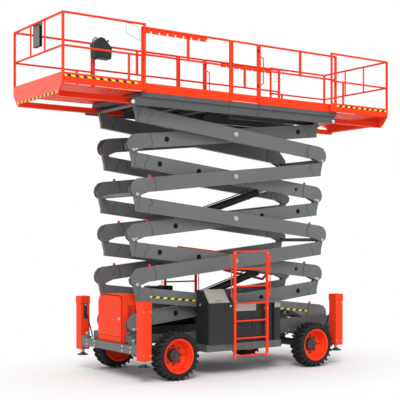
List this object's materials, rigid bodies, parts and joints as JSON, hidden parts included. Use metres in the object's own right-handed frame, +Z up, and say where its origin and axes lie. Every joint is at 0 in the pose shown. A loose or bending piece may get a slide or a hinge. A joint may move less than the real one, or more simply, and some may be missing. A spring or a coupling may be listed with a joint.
{
  "type": "rough-terrain scissor lift",
  "caption": "Self-propelled rough-terrain work platform on a stack of crossed arms, with lift cylinders, roll-out decks, guardrails, gates, outriggers, side boxes and ladders.",
  "frame": {"origin": "on the ground under the middle of the machine, the bottom centre of its box", "axes": "+Z up, +X towards the sliding end of the arms, -X towards the end with the equipment cabinet, -Y the near side"},
  "size_m": [7.4, 2.392, 6.138],
  "materials": {
    "orange_paint": "satin orange powder coat",
    "grey_paint": "satin mid grey paint",
    "dark_paint": "dark chassis paint",
    "black_paint": "glossy black paint",
    "tyre": "matt black rubber",
    "chrome_rod": "ground and plated steel",
    "lid_paint": "silver grey paint",
    "red_paint": "gloss red paint"
  },
  "bodies": {
    "chassis": {"chassis_frame": "grey_paint", "front_axle": "dark_paint", "rear_axle": "dark_paint", "front_outrigger_frame": "orange_paint", "rear_outrigger_frame": "orange_paint", "end_cabinet": "orange_paint", "far_side_box": "black_paint", "near_side_box": "black_paint", "engine_block": "dark_paint", "far_ladder": "orange_paint", "near_ladder": "orange_paint"},
    "arms_a4": {"arm_frame_a4": "grey_paint", "maintenance_prop": "red_paint", "lower_maintenance_prop": "red_paint"},
    "platform": {"platform_frame": "grey_paint", "deck_floor": "grey_paint", "far_guardrail": "orange_paint", "near_guardrail": "orange_paint", "control_box": "dark_paint"},
    "front_extension": {"front_extension_deck": "orange_paint", "front_extension_guardrail": "orange_paint", "manual_box": "grey_paint"},
    "rear_extension": {"rear_extension_deck": "orange_paint", "rear_extension_guardrail": "orange_paint"},
    "arms_a1": {"arm_frame_a1": "grey_paint"},
    "arms_a2": {"arm_frame_a2": "grey_paint"},
    "arms_a3": {"arm_frame_a3": "grey_paint"},
    "arms_a5": {"arm_frame_a5": "grey_paint"},
    "arms_b1": {"arm_frame_b1": "grey_paint"},
    "arms_b2": {"arm_frame_b2": "grey_paint"},
    "arms_b3": {"arm_frame_b3": "grey_paint"},
    "arms_b4": {"arm_frame_b4": "grey_paint"},
    "arms_b5": {"arm_frame_b5": "grey_paint"},
    "lower_barrel": {"lower_lift_barrel": "black_paint"},
    "lower_rod": {"lower_lift_rod": "chrome_rod"},
    "upper_barrel": {"upper_lift_barrel": "black_paint"},
    "upper_rod": {"upper_lift_rod": "chrome_rod"},
    "front_far_wheel": {"front_far_rim": "orange_paint", "front_far_tyre": "tyre"},
    "front_far_jack": {"front_far_jack_foot": "chrome_rod"},
    "front_near_wheel": {"front_near_rim": "orange_paint", "front_near_tyre": "tyre"},
    "front_near_jack": {"front_near_jack_foot": "chrome_rod"},
    "rear_far_wheel": {"rear_far_rim": "orange_paint", "rear_far_tyre": "tyre"},
    "rear_far_jack": {"rear_far_jack_foot": "chrome_rod"},
    "rear_near_wheel": {"rear_near_rim": "orange_paint", "rear_near_tyre": "tyre"},
    "rear_near_jack": {"rear_near_jack_foot": "chrome_rod"},
    "front_far_steering": {"front_far_knuckle": "dark_paint"},
    "far_lid": {"far_side_lid": "lid_paint"},
    "far_gate_leaf": {"far_gate": "orange_paint"},
    "front_near_steering": {"front_near_knuckle": "dark_paint"},
    "near_lid": {"near_side_lid": "lid_paint"},
    "near_gate_leaf": {"near_gate": "orange_paint"},
    "cabinet_door": {"end_cabinet_door": "orange_paint"}
  },
  "joints": [
    {"name": "lift", "type": "hinge", "parent": "chassis", "child": "arms_b5", "pos_m": [-2.13174, 0, 0.862], "axis": [0, -1, 0], "range_deg": [-6.2, 48]},
    {"name": "fold_right_4", "type": "hinge", "parent": "arms_b5", "child": "arms_a4", "pos_m": [2.13174, 0, 1.64065], "axis": [0, -1, 0], "range_deg": [-96, 12.4]},
    {"name": "fold_left_3", "type": "hinge", "parent": "arms_a4", "child": "arms_b3", "pos_m": [-2.13174, 0, 2.4193], "axis": [0, -1, 0], "range_deg": [-12.4, 96]},
    {"name": "fold_right_2", "type": "hinge", "parent": "arms_b3", "child": "arms_a2", "pos_m": [2.13174, 0, 3.19795], "axis": [0, -1, 0], "range_deg": [-96, 12.4]},
    {"name": "fold_left_1", "type": "hinge", "parent": "arms_a2", "child": "arms_b1", "pos_m": [-2.13174, 0, 3.9766], "axis": [0, -1, 0], "range_deg": [-12.4, 96]},
    {"name": "centre_5", "type": "hinge", "parent": "arms_b5", "child": "arms_a5", "pos_m": [0, 0, 1.25133], "axis": [0, -1, 0], "range_deg": [-96, 12.4]},
    {"name": "centre_4", "type": "hinge", "parent": "arms_a4", "child": "arms_b4", "pos_m": [0, 0, 2.02997], "axis": [0, -1, 0], "range_deg": [-12.4, 96]},
    {"name": "centre_3", "type": "hinge", "parent": "arms_b3", "child": "arms_a3", "pos_m": [0, 0, 2.80862], "axis": [0, -1, 0], "range_deg": [-96, 12.4]},
    {"name": "centre_2", "type": "hinge", "parent": "arms_a2", "child": "arms_b2", "pos_m": [0, 0, 3.58727], "axis": [0, -1, 0], "range_deg": [-12.4, 96]},
    {"name": "centre_1", "type": "hinge", "parent": "arms_b1", "child": "arms_a1", "pos_m": [0, 0, 4.36592], "axis": [0, -1, 0], "range_deg": [-96, 12.4]},
    {"name": "platform_level", "type": "hinge", "parent": "arms_a1", "child": "platform", "pos_m": [-2.13174, 0, 4.75525], "axis": [0, -1, 0], "range_deg": [-6.2, 48]},
    {"name": "lower_barrel_swing", "type": "hinge", "parent": "arms_b5", "child": "lower_barrel", "pos_m": [-1.10441, 0, 1.12017], "axis": [0, -1, 0], "range_deg": [-0.81, 6.24]},
    {"name": "lower_rod_slide", "type": "slide", "parent": "lower_barrel", "child": "lower_rod", "axis": [0.9535, 0, 0.3013], "range_m": [-0.16096, 1.2461]},
    {"name": "upper_barrel_swing", "type": "hinge", "parent": "arms_b3", "child": "upper_barrel", "pos_m": [-1.10441, 0, 2.67747], "axis": [0, -1, 0], "range_deg": [-0.81, 6.24]},
    {"name": "upper_rod_slide", "type": "slide", "parent": "upper_barrel", "child": "upper_rod", "axis": [0.9535, 0, 0.3013], "range_m": [-0.16096, 1.2461]},
    {"name": "front_far_steer", "type": "hinge", "parent": "chassis", "child": "front_far_steering", "pos_m": [-1.59, 0.85, 0.42], "axis": [0, 0, 1], "range_deg": [-24, 24]},
    {"name": "front_far_wheel_spin", "type": "hinge", "parent": "front_far_steering", "child": "front_far_wheel", "pos_m": [-1.59, 1.028, 0.42], "axis": [0, 1, 0], "continuous": true},
    {"name": "front_near_steer", "type": "hinge", "parent": "chassis", "child": "front_near_steering", "pos_m": [-1.59, -0.85, 0.42], "axis": [0, 0, 1], "range_deg": [-24, 24]},
    {"name": "front_near_wheel_spin", "type": "hinge", "parent": "front_near_steering", "child": "front_near_wheel", "pos_m": [-1.59, -1.028, 0.42], "axis": [0, 1, 0], "continuous": true},
    {"name": "rear_far_wheel_spin", "type": "hinge", "parent": "chassis", "child": "rear_far_wheel", "pos_m": [1.54, 1.028, 0.42], "axis": [0, 1, 0], "continuous": true},
    {"name": "rear_near_wheel_spin", "type": "hinge", "parent": "chassis", "child": "rear_near_wheel", "pos_m": [1.54, -1.028, 0.42], "axis": [0, 1, 0], "continuous": true},
    {"name": "front_far_jack_extend", "type": "slide", "parent": "chassis", "child": "front_far_jack", "axis": [0, 0, -1], "range_m": [0, 0.27]},
    {"name": "front_near_jack_extend", "type": "slide", "parent": "chassis", "child": "front_near_jack", "axis": [0, 0, -1], "range_m": [0, 0.27]},
    {"name": "rear_far_jack_extend", "type": "slide", "parent": "chassis", "child": "rear_far_jack", "axis": [0, 0, -1], "range_m": [0, 0.27]},
    {"name": "rear_near_jack_extend", "type": "slide", "parent": "chassis", "child": "rear_near_jack", "axis": [0, 0, -1], "range_m": [0, 0.27]},
    {"name": "cabinet_door_hinge", "type": "hinge", "parent": "chassis", "child": "cabinet_door", "pos_m": [-2.298, 0.404, 1], "axis": [0, 0, -1], "range_deg": [0, 110]},
    {"name": "far_lid_hinge", "type": "hinge", "parent": "chassis", "child": "far_lid", "pos_m": [-0.7475, 0.985, 1.525], "axis": [1, 0, 0], "range_deg": [0, 70]},
    {"name": "near_lid_hinge", "type": "hinge", "parent": "chassis", "child": "near_lid", "pos_m": [-0.7475, -0.985, 1.525], "axis": [-1, 0, 0], "range_deg": [0, 70]},
    {"name": "far_gate_hinge", "type": "hinge", "parent": "platform", "child": "far_gate_leaf", "pos_m": [0.3755, 0.846, 5.5], "axis": [0, 0, 1], "range_deg": [0, 90]},
    {"name": "near_gate_hinge", "type": "hinge", "parent": "platform", "child": "near_gate_leaf", "pos_m": [0.3755, -0.846, 5.5], "axis": [0, 0, -1], "range_deg": [0, 90]},
    {"name": "front_extension_slide", "type": "slide", "parent": "platform", "child": "front_extension", "axis": [1, 0, 0], "range_m": [0, 1.28]},
    {"name": "rear_extension_slide", "type": "slide", "parent": "platform", "child": "rear_extension", "axis": [-1, 0, 0], "range_m": [0, 1.28]}
  ],
  "couplings": [
    {"joint": "fold_right_4", "follows": "lift", "ratio": -2},
    {"joint": "fold_left_3", "follows": "lift", "ratio": 2},
    {"joint": "fold_right_2", "follows": "lift", "ratio": -2},
    {"joint": "fold_left_1", "follows": "lift", "ratio": 2},
    {"joint": "centre_5", "follows": "lift", "ratio": -2},
    {"joint": "centre_4", "follows": "lift", "ratio": 2},
    {"joint": "centre_3", "follows": "lift", "ratio": -2},
    {"joint": "centre_2", "follows": "lift", "ratio": 2},
    {"joint": "centre_1", "follows": "lift", "ratio": -2},
    {"joint": "platform_level", "follows": "lift", "ratio": 1},
    {"joint": "lower_barrel_swing", "follows": "lift", "ratio": 0.12992},
    {"joint": "lower_rod_slide", "follows": "lift", "m_per_rad": 1.4874},
    {"joint": "upper_barrel_swing", "follows": "lift", "ratio": 0.12992},
    {"joint": "upper_rod_slide", "follows": "lift", "m_per_rad": 1.4874},
    {"joint": "front_near_steer", "follows": "front_far_steer", "ratio": 1}
  ]
}
